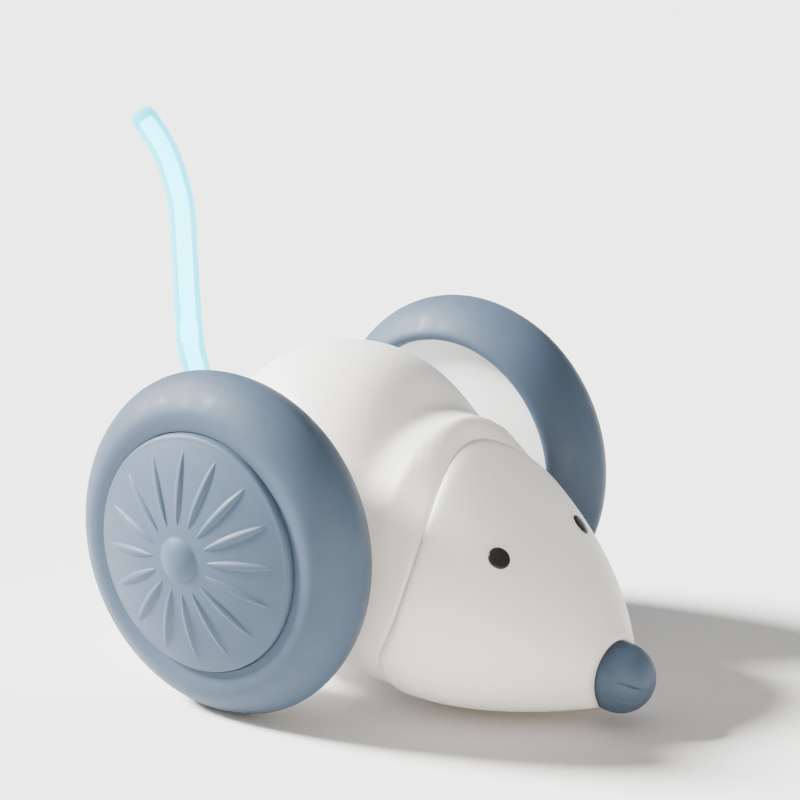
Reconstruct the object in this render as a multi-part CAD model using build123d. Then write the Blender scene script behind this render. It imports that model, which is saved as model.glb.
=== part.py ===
"""Rolling mouse toy: an egg-shaped shell between two large geared wheels, with a lit tail.

Frame: +X towards the nose, +Y to the mouse's left, +Z up, millimetres.
The origin is on the floor, in the middle of the overall length and width.
Side parts are drawn for the left side (+Y) and mirrored for the right.
"""
from build123d import *
import math
import os

# Wheels
WHEEL_R = 30.0
TYRE_Y = 35.2
AXLE_X = -7.05
AXLE_Z = WHEEL_R
RIM_R = 23.0
CAP_R = 20.7
CAP_FACE_R = 19.8
CAP_DOME_R = 52.0
CAP_CROWN_Y = TYRE_Y + 11.9
CAP_BUTTON_R = 3.9
CAP_BUTTON_HEIGHT = 1.1
RAY_COUNT = 16
RAY_SPAN = (5.9, 18.3)
RAY_RADIUS = 0.95
RAY_FIRST = -3.9
WEB_Y = 29.7
RIM_END_Y = TYRE_Y + 3.0

# Body and head
WALL = 2.0
BODY_HALF_LENGTH = 27.6
BODY_HALF_WIDTH = 25.2
BODY_HALF_HEIGHT = 28.8
BODY_MID_Z = 29.4
HUMP_LENGTH = 22.0
HUMP_POWER = 2.27
COLLAR_TOP = 48.0
COLLAR_SLOPE = 1.02
COLLAR_ROUNDING = 3.0
BELLY_Z = 5.0
SPLIT_Z = 10.0
NECK_X = 28.4
NECK_INSET = 0.8
CREASE_R = 31.5
CREASE_X = -1.0
CREASE_Z = 30.0
CREASE_FOOT_X = 24.5
CREASE_GAP = 0.06
HEAD_LENGTH = 29.2
HEAD_BULGE = 0.52
HEAD_TOP = (44.0, 31.4, 14.4)
HEAD_BOTTOM = (1.15, 0.85, 3.7)
HEAD_HALF_WIDTH = (25.7, 25.1, 5.4)
HEAD_MID = 0.42

# Nose, eyes and glide
NOSE_R = 6.1
NOSE_X = 57.9
NOSE_Z = 8.4
NOSE_GAP = 0.25
EYE_R = 2.0
EYE_STATION = 0.425
EYE_ANGLE = 56.0
GLIDE_X = 43.0

# Tail
TAIL_R = 2.4
TAIL_BORE_R = 1.55
TAIL_BEND_R = 20.0
TAIL_ROUTE = [
    (-27.5, 37.2),
    (-33.8, 42.2),
    (-37.4, 52.0),
    (-38.8, 78.5),
    (-42.2, 87.6),
    (-48.2, 93.7),
]
LED_TOP_Z = 57.4

# Gear train
MODULE = 0.5
PRESSURE = math.radians(20)
BACKLASH = 0.10
DEDENDUM = 0.62
PINION_ADDENDUM = 0.45
WHEEL_ADDENDUM = 0.30
PINION_TEETH = 10
COMPOUND_TEETH = 36
OUTPUT_TEETH = 40
COMPOUND_ANGLE = math.radians(-20)
MOTOR_ANGLE = math.radians(106)
FAST_PLANE = (12.7, 14.9)
SLOW_PLANE = (15.5, 17.9)
CASE_Y = (11.4, 18.4)
COVER_Y = 19.4
PLATE = 1.0
AXLE_R = 1.5
PIN_R = 0.6
MOTOR_SHAFT_R = 0.5
RUNNING_GAP = 0.04

# Electronics, from the axle
BOARD_Z = 9.4
BOARD_THICKNESS = 1.6
BOARD_X = (-11.5, 20.6)
BOARD_HALF_WIDTH = 10.0
BATTERY_SIZE = (28.0, 20.0, 8.0)
BATTERY_X = 4.3
PAD_THICKNESS = 1.2
BUTTON_X = 4.0
BUTTON_R = 2.8
BUTTON_TRAVEL = 0.4
WIRE_R = 0.45
SCREW_HEAD_Z = (6.9, 8.2)
POST_PLACES = [(-12.8, 7.0), (-12.8, -7.0), (21.0, 8.0), (21.0, -8.0)]
BOARD_POSTS = [(-8.0, 8.0), (-8.0, -8.0), (15.0, 8.0), (15.0, -8.0)]
PORT_X = (-20.8, -13.4)

SECTION_POINTS = 24
ACROSS = Vector(0, -1, 0)


def at(x, y, z):
    """Turn a place measured from the axle into the toy's own frame."""
    return Vector(AXLE_X + x, y, z)


def bezier(ends, t):
    """Quadratic curve through the first and last of three values."""
    return (1 - t) ** 2 * ends[0] + 2 * t * (1 - t) * ends[1] + t ** 2 * ends[2]


def ease(t):
    """Smooth step from 0 to 1."""
    t = min(1.0, max(0.0, t))
    return t * t * (3 - 2 * t)


def soft_max(a, b, radius):
    """Larger of two heights, with a rounded valley where they cross."""
    return (a + b + math.sqrt((a - b) ** 2 + radius ** 2)) / 2


def section(x, half_width, top, middle, bottom, power, inset):
    """Closed egg-shaped outline across the body at one station."""
    points = []
    for i in range(SECTION_POINTS):
        angle = 2 * math.pi * i / SECTION_POINTS
        c, s = math.cos(angle), math.sin(angle)
        n = 2.0 if s >= 0 else power
        height = (top - middle if s >= 0 else middle - bottom) - inset
        size = (abs(c) ** n + abs(s) ** n) ** (-1 / n)
        points.append(at(x, (half_width - inset) * size * c, middle + height * size * s))
    return Wire([Edge.make_spline(points, periodic=True)])


def body_station(x):
    """Width, top, middle, low and lower exponent of the body's section at x."""
    rear = math.sqrt(1 - (x / BODY_HALF_LENGTH) ** 2) if x < 0 else 1.0
    front = math.sqrt(max(0.0, 1 - (x / HUMP_LENGTH) ** HUMP_POWER)) if x > 0 else rear
    blend = ease(x / NECK_X)
    top = BODY_MID_Z + BODY_HALF_HEIGHT * front
    if x > 0:
        collar = HEAD_TOP[0] - NECK_INSET - COLLAR_SLOPE * (x - NECK_X)
        top = soft_max(top, min(collar, COLLAR_TOP), COLLAR_ROUNDING)
    middle = BODY_MID_Z + blend * (head_middle() - BODY_MID_Z)
    low = BODY_MID_Z - BODY_HALF_HEIGHT * rear
    low += blend * (HEAD_BOTTOM[0] + NECK_INSET - low)
    width = BODY_HALF_WIDTH * rear
    width += blend * (HEAD_HALF_WIDTH[0] - NECK_INSET - width)
    return width, top, middle, low, 2 + blend


def body_hull(inset):
    """Solid of the humped body and its collar, shrunk all round by inset."""
    half_length = BODY_HALF_LENGTH - inset
    wires = []
    for angle in (9, 22, 36, 50, 64, 78, 90):
        share = math.sin(math.radians(angle))
        x = math.cos(math.radians(angle))
        wires.append(section(-half_length * x, *body_station(-BODY_HALF_LENGTH * x),
                             inset * max(share, 0.3)))
    for x in (5.0, 10.0, 14.0, 17.0, 20.0, 23.0, 27.0, 31.0, 34.0):
        wires.append(section(x, *body_station(x), inset))
    return Solid.make_loft(wires)


def head_middle():
    """Height of the widest line at the head's rear edge."""
    return HEAD_BOTTOM[0] + HEAD_MID * (HEAD_TOP[0] - HEAD_BOTTOM[0])


def head_station(t):
    """Section values of the head at t, from 0 at the neck to 1 at the nose."""
    x = NECK_X + HEAD_LENGTH * (2 * t * (1 - t) * HEAD_BULGE + t * t)
    top = bezier(HEAD_TOP, t)
    bottom = bezier(HEAD_BOTTOM, t)
    return x, bezier(HEAD_HALF_WIDTH, t), top, bottom + HEAD_MID * (top - bottom), bottom


def head_hull(inset):
    """Solid of the head cone, run back under the neck, shrunk by inset."""
    wires = []
    for t in (-0.3, -0.15, 0.0, 0.15, 0.3, 0.45, 0.6, 0.75, 0.88, 1.0):
        x, width, top, middle, bottom = head_station(t)
        wires.append(section(x, width, top, middle, bottom, 3.0, inset))
    return Solid.make_loft(wires)


def behind_crease(shift):
    """Large drum with a square foot, which the head's rear edge wraps."""
    drum = disc(CREASE_X, CREASE_Z, CREASE_R + shift, -100, 100)
    return drum + block((-100, CREASE_FOOT_X + shift), (-100, 100), (-100, 100))


def ahead_of_crease(shift):
    """Everything in front of that drum."""
    return block((-100, 200), (-100, 100), (-100, 100)) - behind_crease(shift)


def slab(low, high):
    """Large block between two heights."""
    return Pos(0, 0, (low + high) / 2) * Box(300, 300, high - low)


def block(x, y, z):
    """Block between pairs of limits measured from the axle."""
    centre = at((x[0] + x[1]) / 2, (y[0] + y[1]) / 2, (z[0] + z[1]) / 2)
    return Pos(centre) * Box(x[1] - x[0], y[1] - y[0], z[1] - z[0])


def post(x, y, radius, low, high):
    """Upright cylinder."""
    return Pos(at(x, y, (low + high) / 2)) * Cylinder(radius, high - low)


def disc(x, z, radius, near, far):
    """Cylinder along the axle's direction, between two distances from the middle."""
    plane = Plane(origin=at(x, far, z), x_dir=(1, 0, 0), z_dir=ACROSS)
    return extrude(plane * Circle(radius), amount=far - near)


def turned(edges):
    """Solid turned about the axle from a closed outline of (distance, radius)."""
    face = Plane.YZ * make_face(edges)
    return Pos(AXLE_X, 0, AXLE_Z) * revolve(face, axis=Axis.Y)


def wire(points, radius=WIRE_R, bend=2.5):
    """Insulated lead along straight runs joined by bends."""
    path = FilletPolyline(*points, radius=bend)
    profile = Plane(origin=path @ 0, z_dir=path % 0) * Circle(radius)
    return sweep(profile, path=path)


def pinion_place():
    """Motor axis, from the axle."""
    x, z = compound_place()
    reach = MODULE * (PINION_TEETH + COMPOUND_TEETH) / 2
    return x + reach * math.cos(MOTOR_ANGLE), z + reach * math.sin(MOTOR_ANGLE)


def compound_place():
    """Axis of the middle gear, from the axle."""
    reach = MODULE * (PINION_TEETH + OUTPUT_TEETH) / 2
    return reach * math.cos(COMPOUND_ANGLE), AXLE_Z + reach * math.sin(COMPOUND_ANGLE)


def involute(radius, base):
    """Polar angle that an involute has swept at a radius."""
    slope = math.acos(min(1.0, base / radius))
    return math.tan(slope) - slope


def gear(teeth, addendum, first_tooth, place, span, bore):
    """Spur gear with involute flanks, its first tooth at a given angle."""
    pitch_r = MODULE * teeth / 2
    base_r = pitch_r * math.cos(PRESSURE)
    root_r = pitch_r - DEDENDUM
    start_r = max(base_r, root_r)
    tip_r = pitch_r + addendum
    half_tooth = math.pi / (2 * teeth) - BACKLASH / (2 * pitch_r) + involute(pitch_r, base_r)
    flank = [(root_r, half_tooth - involute(start_r, base_r))]
    for step in range(3):
        radius = start_r + (tip_r - start_r) * step / 2
        flank.append((radius, half_tooth - involute(radius, base_r)))
    outline = []
    for tooth in range(teeth):
        centre = first_tooth + 2 * math.pi * tooth / teeth
        rise = [(radius, centre - half) for radius, half in flank]
        fall = [(radius, centre + half) for radius, half in reversed(flank)]
        outline += [(r * math.cos(a), r * math.sin(a)) for r, a in rise + fall]
    plane = Plane(origin=at(place[0], span[1], place[1]), x_dir=(1, 0, 0), z_dir=ACROSS)
    blank = make_face(Polyline(*outline, close=True)) - Circle(bore)
    return extrude(plane * blank, amount=span[1] - span[0])


def meshing_tooth(driver_teeth, driver_tooth, teeth, direction):
    """First-tooth angle that puts a gear in mesh with its driver at rest."""
    phase = (direction - driver_tooth) * driver_teeth / (2 * math.pi)
    return direction + math.pi - (0.5 - phase) * 2 * math.pi / teeth


def side(name, shape, sign):
    """Write a left-hand shape as it is, or mirrored for the right."""
    write(name, shape if sign > 0 else mirror(shape, about=Plane.XZ))


def write(name, shape):
    """Write one node."""
    export_step(shape, f"parts/{name}.step")


def tyre():
    """Fat silicone tyre: a rounded tread, a crest and a flat ring round the cap."""
    inner = Spline((TYRE_Y - 7.6, RIM_R), (TYRE_Y - 8.4, RIM_R + 1.3), (TYRE_Y - 5.7, 27.3),
                   (TYRE_Y, WHEEL_R), tangents=[(-1, 0.2), (1, 0)])
    outer = Spline((TYRE_Y, WHEEL_R), (TYRE_Y + 4.4, 27.7), (TYRE_Y + 6.4, 25.2),
                   (TYRE_Y + 6.95, 23.0), (TYRE_Y + 6.7, CAP_R + 0.1), tangents=[(1, 0), (-0.15, -1)])
    bead = Polyline(outer @ 1, (RIM_END_Y, CAP_R + 0.1), (RIM_END_Y, RIM_R), inner @ 0)
    return turned(Curve() + [inner, outer, bead])


def wheel_hub():
    """White dish: a web set back behind the tyre's lip, a rim and a boss."""
    rim = disc(0, AXLE_Z, RIM_R, WEB_Y, RIM_END_Y) - disc(0, AXLE_Z, RIM_R - 1.4, WEB_Y + 1.6, RIM_END_Y)
    dish = rim + disc(0, AXLE_Z, 4.5, 27.0, 39.0)
    for i in range(6):
        rib = Pos(AXLE_X, (WEB_Y + 34.0) / 2, AXLE_Z) * Rot(0, 60 * i, 0)
        dish += rib * Pos(12.8, 0, 0) * Box(18.0, 34.0 - WEB_Y, 1.4)
    return dish - disc(0, AXLE_Z, AXLE_R + 0.02, 26.0, 40.0)


def hub_cap():
    """Domed wheel cover with raised lens-shaped rays and a round button."""
    crown = CAP_CROWN_Y
    half = CAP_FACE_R / 2
    drop = dome_drop(CAP_FACE_R)
    face_arc = ThreePointArc((crown, 0), (crown - dome_drop(half), half), (crown - drop, CAP_FACE_R))
    edge = ThreePointArc(face_arc @ 1, (crown - drop - 0.3, CAP_R - 0.25), (crown - drop - 0.9, CAP_R))
    back = Polyline(edge @ 1, (TYRE_Y - 1.0, CAP_R), (TYRE_Y - 1.0, 19.0),
                    (crown - 1.8 - dome_drop(19.0, 1.8), 19.0))
    inner_arc = ThreePointArc(back @ 1, (crown - 1.8 - dome_drop(10.0, 1.8), 10.0), (crown - 1.8, 0))
    cap = turned(Curve() + [face_arc, edge, back, inner_arc, Line(inner_arc @ 1, face_arc @ 0)])
    rise = CAP_BUTTON_HEIGHT + dome_drop(CAP_BUTTON_R)
    ball_r = (CAP_BUTTON_R ** 2 + rise ** 2) / (2 * rise)
    ball = Pos(AXLE_X, crown + CAP_BUTTON_HEIGHT - ball_r, AXLE_Z) * Sphere(ball_r)
    button = ball & disc(0, AXLE_Z, CAP_BUTTON_R + 0.4, crown - 1.2, crown + 2)
    rays = [hub_ray(RAY_FIRST + 360 / RAY_COUNT * i) for i in range(RAY_COUNT)]
    return cap.fuse(button, *rays)


def dome_drop(radius, inset=0.0):
    """Fall of the wheel cover's dome below its crown at a radius."""
    dome_r = CAP_DOME_R - inset
    return dome_r - math.sqrt(dome_r ** 2 - radius ** 2)


def hub_ray(angle):
    """One raised ray: a pointed spindle laid on the dome's chord."""
    inner, outer = RAY_SPAN
    inner_y, outer_y = CAP_CROWN_Y - dome_drop(inner), CAP_CROWN_Y - dome_drop(outer)
    half = math.hypot(outer - inner, outer_y - inner_y) / 2
    arc = Spline((-half, 0), (-half / 2, 0.76 * RAY_RADIUS), (0, RAY_RADIUS),
                 (half / 2, 0.76 * RAY_RADIUS), (half, 0))
    spindle = revolve(make_face(Curve() + [arc, Line((half, 0), (-half, 0))]), axis=Axis.X)
    tilt = math.degrees(math.atan2(outer_y - inner_y, outer - inner))
    middle = Pos((inner + outer) / 2, (inner_y + outer_y) / 2, 0)
    return Pos(AXLE_X, 0, AXLE_Z) * Rot(0, angle, 0) * middle * Rot(0, 0, tilt) * spindle


def axle():
    """Steel wheel shaft with a tapped outer end."""
    shaft = disc(0, AXLE_Z, AXLE_R, 11.6, 38.6)
    return shaft - disc(0, AXLE_Z, 0.8, 31.0, 38.6)


def wheel_screw():
    """Screw and washer head that hold the hub on its shaft."""
    head = disc(0, AXLE_Z, 3.0, 39.0, 40.6) - block((-3, 3), (40.0, 40.6), (29.6, 30.4))
    return head + disc(0, AXLE_Z, 0.75, 32.0, 39.0)


def gearbox_outline(inset):
    """Edges of the gearbox's three joined lobes."""
    compound = compound_place()
    motor = pinion_place()
    lobes = [((0, 0), 11.6), ((compound[0], compound[1] - AXLE_Z), 10.6),
             ((motor[0], motor[1] - AXLE_Z), 5.0)]
    return make_hull(Sketch([Pos(*c) * Circle(r - inset) for c, r in lobes]).edges())


def gearbox_plate(inset, near, far):
    """Slab of the gearbox outline between two distances from the middle."""
    plane = Plane(origin=at(0, far, AXLE_Z), x_dir=(1, 0, 0), z_dir=ACROSS)
    return extrude(plane * gearbox_outline(inset), amount=far - near)


def ear_places():
    """Places of the three gearbox screws, from the axle."""
    compound = compound_place()
    places = []
    for centre, radius, angle in [((0, AXLE_Z), 11.9, 90), ((0, AXLE_Z), 11.9, 235),
                                  (compound, 10.9, -60)]:
        a = math.radians(angle)
        places.append((centre[0] + radius * math.cos(a), centre[1] + radius * math.sin(a)))
    return places


def gearbox_case():
    """Inner half of the gearbox, a cup with screw ears."""
    compound, motor = compound_place(), pinion_place()
    cup = gearbox_plate(0, *CASE_Y)
    for place in ear_places():
        cup += disc(*place, 1.6, *CASE_Y)
    cup -= gearbox_plate(PLATE, CASE_Y[0] + PLATE, CASE_Y[1])
    for place in ear_places():
        cup += disc(*place, 1.25, *CASE_Y)
        cup -= disc(*place, 0.6, CASE_Y[0] + 1.5, CASE_Y[1])
    cup -= disc(0, AXLE_Z, 2.4, *CASE_Y)
    cup -= disc(*motor, 1.6, *CASE_Y)
    return cup - disc(*compound, PIN_R, *CASE_Y)


def gearbox_cover():
    """Outer plate of the gearbox."""
    plate = gearbox_plate(0, CASE_Y[1], COVER_Y)
    for place in ear_places():
        plate += disc(*place, 1.6, CASE_Y[1], COVER_Y)
        plate -= disc(*place, 0.75, CASE_Y[1], COVER_Y)
    plate -= disc(0, AXLE_Z, 2.4, CASE_Y[1], COVER_Y)
    return plate - disc(*compound_place(), PIN_R, CASE_Y[1], COVER_Y)


def axle_bushes():
    """Inner and outer plain bearings of a wheel shaft."""
    bore = disc(0, AXLE_Z, AXLE_R + RUNNING_GAP, 11.0, 22.0)
    inner = disc(0, AXLE_Z, 2.4, CASE_Y[0], CASE_Y[0] + PLATE) - bore
    outer = disc(0, AXLE_Z, 2.4, CASE_Y[1], COVER_Y) + disc(0, AXLE_Z, 3.2, COVER_Y, 21.4) - bore
    return Compound([inner, outer])


def gearbox_screws():
    """Three small screws through the cover's ears."""
    screws = []
    for place in ear_places():
        screws.append(disc(*place, 1.1, COVER_Y, COVER_Y + 0.5) + disc(*place, 0.58, 13.5, COVER_Y))
    return Compound(screws)


def motor_can():
    """Small flat-sided motor with a bearing collar at its gear end."""
    x, z = pinion_place()
    can = disc(x, z, 5.6, 0.6, CASE_Y[0]) & block((x - 6, x + 6), (0, 12), (z - 4.6, z + 4.6))
    can += disc(x, z, 1.5, CASE_Y[0], CASE_Y[0] + 0.9)
    return can - disc(x, z, MOTOR_SHAFT_R + RUNNING_GAP, 6.0, 12.6)


def compound_gear(first_tooth, small_tooth):
    """Large and small gear moulded as one."""
    place = compound_place()
    bore = PIN_R + RUNNING_GAP
    large = gear(COMPOUND_TEETH, WHEEL_ADDENDUM, first_tooth, place, FAST_PLANE, bore)
    small = gear(PINION_TEETH, PINION_ADDENDUM, small_tooth, place,
                 (FAST_PLANE[1], SLOW_PLANE[1]), bore)
    return large + small


def upper_shell():
    """Humped back of the body, open below and at the neck."""
    outer = body_hull(0) & behind_crease(0)
    shell = outer - body_hull(WALL)
    spigot = (head_hull(WALL + 0.15) - head_hull(WALL + 1.4)) & behind_crease(4) & ahead_of_crease(-3)
    shell += spigot & slab(SPLIT_Z, 60) & body_or_head()
    for x, y in POST_PLACES:
        shell += post(x, y, 2.4, SPLIT_Z, 60) & body_hull(WALL / 2)
    shell &= slab(SPLIT_Z, 80)
    for x, y in POST_PLACES:
        shell -= post(x, y, 0.8, SPLIT_Z, SPLIT_Z + 12)
    shell -= disc(0, AXLE_Z, 3.2, -30, 30)
    shell -= tail_axis(-9.0) * Cylinder(4.25, 14, align=(Align.CENTER, Align.CENTER, Align.MIN))
    return shell - port_slot()


def body_or_head():
    """Envelope that keeps the spigot inside both shells."""
    return body_hull(0.4) + (head_hull(WALL + 0.1) & ahead_of_crease(0))


def lower_shell():
    """Belly tray with a flat underside, posts and a button hole."""
    tray = (body_hull(0) & behind_crease(0)) & slab(BELLY_Z, SPLIT_Z)
    tray -= body_hull(WALL) & slab(BELLY_Z + WALL, SPLIT_Z + 1) & behind_crease(-WALL)
    for x, y in BOARD_POSTS:
        tray += post(x, y, 1.8, BELLY_Z + 1, BOARD_Z)
    for sign in (-1, 1):
        tray += post(12.0, 14.0 * sign, 1.5, BELLY_Z + 1, 14.9)
        tray += post(-2.0, 14.0 * sign, 1.5, BELLY_Z + 1, 18.0)
    for x, y in POST_PLACES:
        tray += post(x, y, 2.6, BELLY_Z + 0.5, SPLIT_Z) & body_hull(WALL / 2)
        tray -= post(x, y, 1.1, BELLY_Z - 1, SPLIT_Z + 1)
        tray -= post(x, y, 2.1, 0, SCREW_HEAD_Z[1])
    for x, y in BOARD_POSTS:
        tray -= post(x, y, 0.6, BELLY_Z + 1.2, BOARD_Z + 1)
    return tray - post(BUTTON_X, 0, BUTTON_R + 0.15, BELLY_Z - 1, BELLY_Z + WALL + 1)


def head_shell():
    """Rounded cone of the face, closed low at the rear, with sockets for nose and eyes."""
    outer = head_hull(0) & ahead_of_crease(CREASE_GAP)
    hollow = head_hull(WALL) & (ahead_of_crease(WALL) + slab(6.6, 80))
    shell = outer - hollow
    nose_block = Pos(at(NOSE_X - 7, 0, NOSE_Z)) * Sphere(7.5) & head_hull(WALL / 2)
    shell += nose_block
    shell -= Pos(at(NOSE_X, 0, NOSE_Z)) * Sphere(NOSE_R + NOSE_GAP)
    shell -= nose_axis() * Cylinder(1.5, 12, align=(Align.CENTER, Align.CENTER, Align.MAX))
    for sign in (-1, 1):
        shell -= eye_plane(sign) * Cylinder(1.0, 8)
    return shell - post(GLIDE_X, 0, 1.5, 0, 6)


def nose_axis():
    """Stem direction of the nose, from the ball's middle back into the head."""
    return Plane(origin=at(NOSE_X, 0, NOSE_Z), z_dir=(1, 0, -0.25))


def nose():
    """Ball nose with a stem and shallow mould grooves on its front."""
    ball = Pos(at(NOSE_X, 0, NOSE_Z)) * Sphere(NOSE_R)
    stem = nose_axis() * Cylinder(1.45, 11.5, align=(Align.CENTER, Align.CENTER, Align.MAX))
    return ball + stem


def head_point(t, angle):
    """Point on the head's skin, by station and angle above the widest line."""
    x, width, top, middle, bottom = head_station(t)
    c, s = math.cos(math.radians(angle)), math.sin(math.radians(angle))
    return at(x, width * c, middle + (top - middle) * s)


def eye_plane(sign):
    """Plane on the skin at an eye, facing outwards."""
    step = 0.01
    here = head_point(EYE_STATION, EYE_ANGLE)
    along = head_point(EYE_STATION + step, EYE_ANGLE) - here
    around = head_point(EYE_STATION, EYE_ANGLE + 1) - here
    normal = around.cross(along).normalized()
    if normal.Z < 0:
        normal = normal * -1
    origin = Vector(here.X, sign * here.Y, here.Z)
    return Plane(origin=origin, z_dir=(normal.X, sign * normal.Y, normal.Z))


def eye(sign):
    """Black button eye on a short stem."""
    plane = eye_plane(sign)
    dome = plane * Pos(0, 0, -4.0 + 0.45) * Sphere(4.5)
    rim = plane * Pos(0, 0, 0.1) * Cylinder(EYE_R, 1.6, align=(Align.CENTER, Align.CENTER, Align.MIN))
    stem = plane * Cylinder(0.98, 3.4, align=(Align.CENTER, Align.CENTER, Align.MAX))
    return (dome & rim) + stem + plane * Cylinder(0.98, 0.2)


def front_glide():
    """Slick foot under the chin that the head slides on."""
    foot = Pos(at(GLIDE_X, 0, 4.0)) * Sphere(4.0) & post(GLIDE_X, 0, 2.2, 0, 1.0)
    return foot + post(GLIDE_X, 0, 1.45, 0.9, 5.4)


def tail_points():
    """Corners of the tail's centreline."""
    return [at(x, 0, z) for x, z in TAIL_ROUTE]


def tail_axis(shift):
    """Plane across the tail's root, moved along its first run."""
    start, after = tail_points()[:2]
    along = (after - start).normalized()
    return Plane(origin=start + along * shift, z_dir=along)


def bore_points():
    """Corners of the tail's bore, which ends at the lamp's tip."""
    (x0, z0), (x1, z1) = TAIL_ROUTE[2:4]
    end = at(x0 + (x1 - x0) * (LED_TOP_Z - z0) / (z1 - z0), 0, LED_TOP_Z)
    return tail_points()[:3] + [end]


def tube(points, radius):
    """Round bar along straight runs joined by the tail's bends."""
    path = FilletPolyline(*points, radius=TAIL_BEND_R)
    return sweep(Plane(origin=path @ 0, z_dir=path % 0) * Circle(radius), path=path)


def tail_tube():
    """Translucent tail with a ball root, bored as far as the lamp."""
    root = Pos(tail_points()[0]) * Sphere(TAIL_R)
    solid = tube(tail_points(), TAIL_R) + root
    solid -= tube(bore_points(), TAIL_BORE_R)
    return solid - tail_axis(-4) * Cylinder(TAIL_BORE_R, 4.5, align=(Align.CENTER, Align.CENTER, Align.MIN))


def lamp_axis(shift):
    """Plane across the lamp's tip, moved along the tail."""
    points = bore_points()
    along = (points[3] - points[2]).normalized()
    return Plane(origin=points[3] + along * shift, z_dir=along)


def tail_lamp():
    """Small bullet lamp inside the tail."""
    radius = TAIL_BORE_R - 0.1
    barrel = lamp_axis(-4.6) * Cylinder(radius, 3.0, align=(Align.CENTER, Align.CENTER, Align.MIN))
    return barrel + lamp_axis(-1.6) * Sphere(radius)


def tail_socket():
    """Collar in the back of the body that the tail's ball root turns in."""
    up = (Align.CENTER, Align.CENTER, Align.MIN)
    collar = tail_axis(-5.0) * Cylinder(4.2, 6.2, align=up)
    collar -= Pos(tail_points()[0]) * Sphere(TAIL_R + 0.25)
    collar -= tail_axis(0.0) * Cone(TAIL_R + 0.3, TAIL_R + 1.0, 1.3, align=up)
    return collar - tail_axis(-5.1) * Cylinder(1.5, 5.0, align=up)


def tail_lead(y):
    """Lamp lead inside the tail, from its root to the lamp."""
    points = [Vector(p.X, y, p.Z) for p in bore_points()]
    along = (points[3] - points[2]).normalized()
    points[3] = points[3] - along * 4.65
    first = (points[1] - points[0]).normalized()
    points[0] = points[0] + first * 0.4
    return wire(points, radius=0.25, bend=4.0)


def socket_lead(y):
    """Lamp lead from the board up to the tail's socket."""
    end = tail_points()[0]
    back = tail_axis(-7.0).origin
    points = [at(-10.4, 9.6 * y, BOARD_Z + BOARD_THICKNESS), at(-10.4, 9.6 * y, 17.0),
              at(-16.5, 3 * y, 28.0), Vector(back.X, y, back.Z), Vector(end.X + 0.5, y, end.Z - 0.4)]
    return wire(points, radius=0.25, bend=3.0)


def motor_lead(y):
    """Lead from a motor's terminal down past the battery to the board."""
    x, z = pinion_place()
    return wire([at(x + 5.65, y, z), at(19.6, y, z), at(19.6, y, BOARD_Z + BOARD_THICKNESS)])


def battery_lead(y):
    """Lead from the battery's end down to the board."""
    end = BATTERY_X + BATTERY_SIZE[0] / 2
    return wire([at(end, y, 17.0), at(19.6, y, 17.0), at(19.6, y, BOARD_Z + BOARD_THICKNESS)], bend=0.9)


def main_board():
    """Control board on four posts."""
    board = block(BOARD_X, (-BOARD_HALF_WIDTH, BOARD_HALF_WIDTH), (BOARD_Z, BOARD_Z + BOARD_THICKNESS))
    for x, y in BOARD_POSTS:
        board -= post(x, y, 0.8, BOARD_Z - 1, BOARD_Z + 3)
    for x, y in POST_PLACES:
        board -= post(x, y, 3.0, BOARD_Z - 1, BOARD_Z + 3)
    return board


def battery():
    """Soft-pack cell with rounded long edges."""
    length, width, height = BATTERY_SIZE
    low = BOARD_Z + BOARD_THICKNESS + PAD_THICKNESS
    cell = Pos(at(BATTERY_X, 0, low + height / 2)) * Box(length, width, height)
    return fillet(cell.edges().filter_by(Axis.X), 2.5)


def port_slot():
    """Opening in the shell for a charging plug."""
    shape = Plane.YZ * RectangleRounded(9.8, 4.0, 1.9)
    return Pos(AXLE_X - 30, 0, BOARD_Z + BOARD_THICKNESS + 1.8) * extrude(shape, amount=12)


def charge_port():
    """Metal shell of the charging socket, with its tongue."""
    mouth = Plane.YZ * (RectangleRounded(8.9, 3.2, 1.55) - RectangleRounded(8.3, 2.6, 1.25))
    z = BOARD_Z + BOARD_THICKNESS + 1.6
    length = PORT_X[1] - PORT_X[0]
    sleeve = Pos(AXLE_X + PORT_X[0], 0, z) * extrude(mouth, amount=length)
    tongue = block((PORT_X[0] + 1.0, PORT_X[1]), (-3.3, 3.3), (z - 0.35, z + 0.35))
    back = block((PORT_X[1] - 1.0, PORT_X[1] + 2.6), (-4.3, 4.3), (z - 1.6, z + 1.6))
    return sleeve + tongue + back


def power_button():
    """Button in the belly, kept in by a flange."""
    stem = post(BUTTON_X, 0, BUTTON_R, BELLY_Z + 0.2, BELLY_Z + WALL + 0.6)
    dimple = Pos(at(BUTTON_X, 0, BELLY_Z - 4.4)) * Sphere(5.0)
    flange = post(BUTTON_X, 0, BUTTON_R + 1.0, BELLY_Z + WALL + 0.05, BELLY_Z + WALL + 0.85)
    return stem + flange - dimple


def power_switch():
    """Low tactile switch under the board, with its plunger."""
    x = (BUTTON_X - 2.2, BUTTON_X + 2.2)
    return block(x, (-2.2, 2.2), (BOARD_Z - 0.6, BOARD_Z)) + post(BUTTON_X, 0, 1.0, BOARD_Z - 1.0, BOARD_Z - 0.5)


def shell_screws():
    """Four screws that hold the belly tray to the back."""
    screws = []
    for x, y in POST_PLACES:
        low, high = SCREW_HEAD_Z
        head = post(x, y, 1.9, low, high)
        head -= block((x - 1.4, x + 1.4), (y - 0.2, y + 0.2), (low, low + 0.7))
        head -= block((x - 0.2, x + 0.2), (y - 1.4, y + 1.4), (low, low + 0.7))
        screws.append(head + post(x, y, 0.78, high, high + 11))
    return Compound(screws)


def board_screws():
    """Four screws that hold the board on its posts."""
    top = BOARD_Z + BOARD_THICKNESS
    return Compound([post(x, y, 1.3, top, top + 0.7) + post(x, y, 0.58, BOARD_Z - 2.6, top)
                     for x, y in BOARD_POSTS])


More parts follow.
